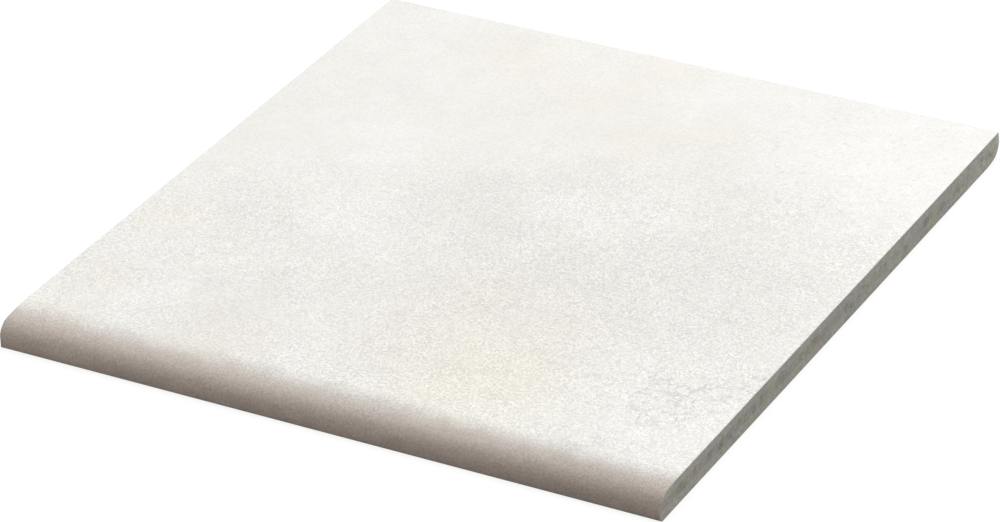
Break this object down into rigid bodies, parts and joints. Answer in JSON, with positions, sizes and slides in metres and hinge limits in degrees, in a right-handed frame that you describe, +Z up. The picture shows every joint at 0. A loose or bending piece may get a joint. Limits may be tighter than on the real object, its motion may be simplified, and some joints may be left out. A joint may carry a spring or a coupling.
{
  "type": "bullnose tile",
  "caption": "Nearly square stone-look stair tile with a rounded nose along its front edge, a rounded heel under its back edge and a keyed underside.",
  "frame": {"origin": "middle of the tile's footprint, on the plane of the underside's ribs and rim", "axes": "+Z up out of the walked face, -Y forward out of the rounded nose, +X along the nose to its right end"},
  "size_m": [0.3, 0.33, 0.0125],
  "materials": {
    "fired_stoneware": "matte off-white stone-look glaze on the walked face and the nose, bare grey-beige fired body on the ends, the back and the underside"
  },
  "bodies": {
    "root": {"bullnose_tile": "fired_stoneware"}
  },
  "joints": []
}
